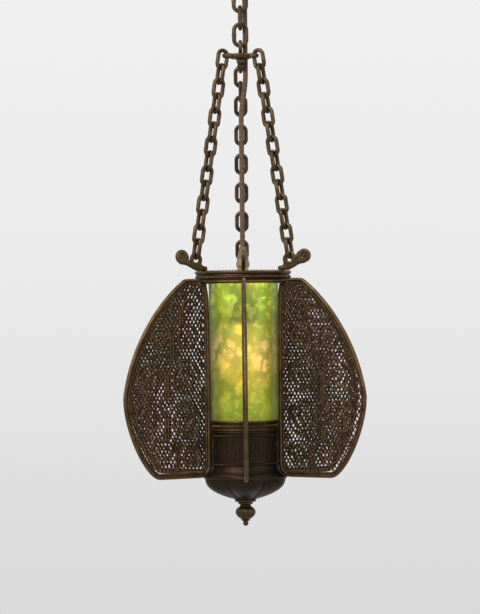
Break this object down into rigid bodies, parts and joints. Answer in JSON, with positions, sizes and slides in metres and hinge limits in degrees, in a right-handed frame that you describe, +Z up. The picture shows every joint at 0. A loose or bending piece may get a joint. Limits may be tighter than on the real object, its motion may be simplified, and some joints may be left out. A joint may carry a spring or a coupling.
{
  "type": "hanging lantern",
  "caption": "Moorish hanging lantern: mottled glass sleeve between upright pierced bronze fins, hung by side chains and a main chain from a ceiling canopy.",
  "frame": {"origin": "ceiling plane, over the middle of the canopy; the whole lantern hangs below it", "axes": "+Z up; the fin that faces the viewer points to -Y"},
  "size_m": [0.2866, 0.328, 0.7211],
  "materials": {
    "dark_bronze": "dark brown patina",
    "chain_bronze": "worn brown patina",
    "steel": "dull zinc",
    "lamp_brass": "satin",
    "holder_plastic": "matt black",
    "lit_glass": "mottled green and amber, lit from inside",
    "bulb_glass": "frosted, lit",
    "lead_fabric": "brown braided sleeve"
  },
  "bodies": {
    "root": {"mounting_bar": "steel", "canopy": "dark_bronze", "lead_bush": "holder_plastic", "collar_nut": "dark_bronze", "canopy_loop": "dark_bronze"},
    "chain_top": {"chain_link_1": "chain_bronze"},
    "chain_run": {"chain_link_2": "chain_bronze", "chain_link_3": "chain_bronze"},
    "chain_end": {"chain_link_4": "chain_bronze"},
    "lantern": {"hanger_eye": "dark_bronze", "hanger_nut": "steel", "crown": "dark_bronze", "side_chain_1": "chain_bronze", "side_chain_2": "chain_bronze", "side_chain_3": "chain_bronze", "horn_1": "dark_bronze", "horn_2": "dark_bronze", "horn_3": "dark_bronze", "horn_4": "dark_bronze", "horn_5": "dark_bronze", "horn_6": "dark_bronze", "rim_collar": "dark_bronze", "fin_1": "dark_bronze", "fin_2": "dark_bronze", "fin_3": "dark_bronze", "fin_4": "dark_bronze", "fin_5": "dark_bronze", "fin_6": "dark_bronze", "lamp_spider": "steel", "lamp_nipple": "lamp_brass", "lock_nut": "lamp_brass", "lead_grip": "holder_plastic", "holder_cap": "lamp_brass", "lampholder": "holder_plastic", "base_ring": "dark_bronze", "base_stud": "steel", "base_bowl": "dark_bronze", "rosette": "dark_bronze", "lamp_lead": "lead_fabric"},
    "glass": {"glass_sleeve": "lit_glass"},
    "bulb": {"bulb_base": "lamp_brass", "bulb_envelope": "bulb_glass"},
    "finial_knob": {"finial": "dark_bronze"}
  },
  "joints": [
    {"name": "chain_swing_x", "type": "hinge", "parent": "root", "child": "chain_top", "pos_m": [0, 0, -0.0625], "axis": [1, 0, 0], "range_deg": [-20, 20], "deforming": ["lamp_lead"]},
    {"name": "chain_swing_y", "type": "hinge", "parent": "chain_top", "child": "chain_run", "pos_m": [0, 0, -0.0832], "axis": [0, 1, 0], "range_deg": [-20, 20], "deforming": ["lamp_lead"]},
    {"name": "lantern_tilt_y", "type": "hinge", "parent": "chain_run", "child": "chain_end", "pos_m": [0, 0, -0.1244], "axis": [0, 1, 0], "range_deg": [-15, 15], "deforming": ["lamp_lead"]},
    {"name": "lantern_tilt_x", "type": "hinge", "parent": "chain_end", "child": "lantern", "pos_m": [0, 0, -0.145], "axis": [1, 0, 0], "range_deg": [-15, 15], "deforming": ["lamp_lead"]},
    {"name": "glass_lift", "type": "slide", "parent": "lantern", "child": "glass", "axis": [0, 0, 1], "range_m": [0, 0.004]},
    {"name": "bulb_turn", "type": "hinge", "parent": "lantern", "child": "bulb", "pos_m": [0, 0, -0.46], "axis": [0, 0, 1], "continuous": true},
    {"name": "finial_turn", "type": "hinge", "parent": "lantern", "child": "finial_knob", "pos_m": [0, 0, -0.7], "axis": [0, 0, 1], "continuous": true}
  ]
}
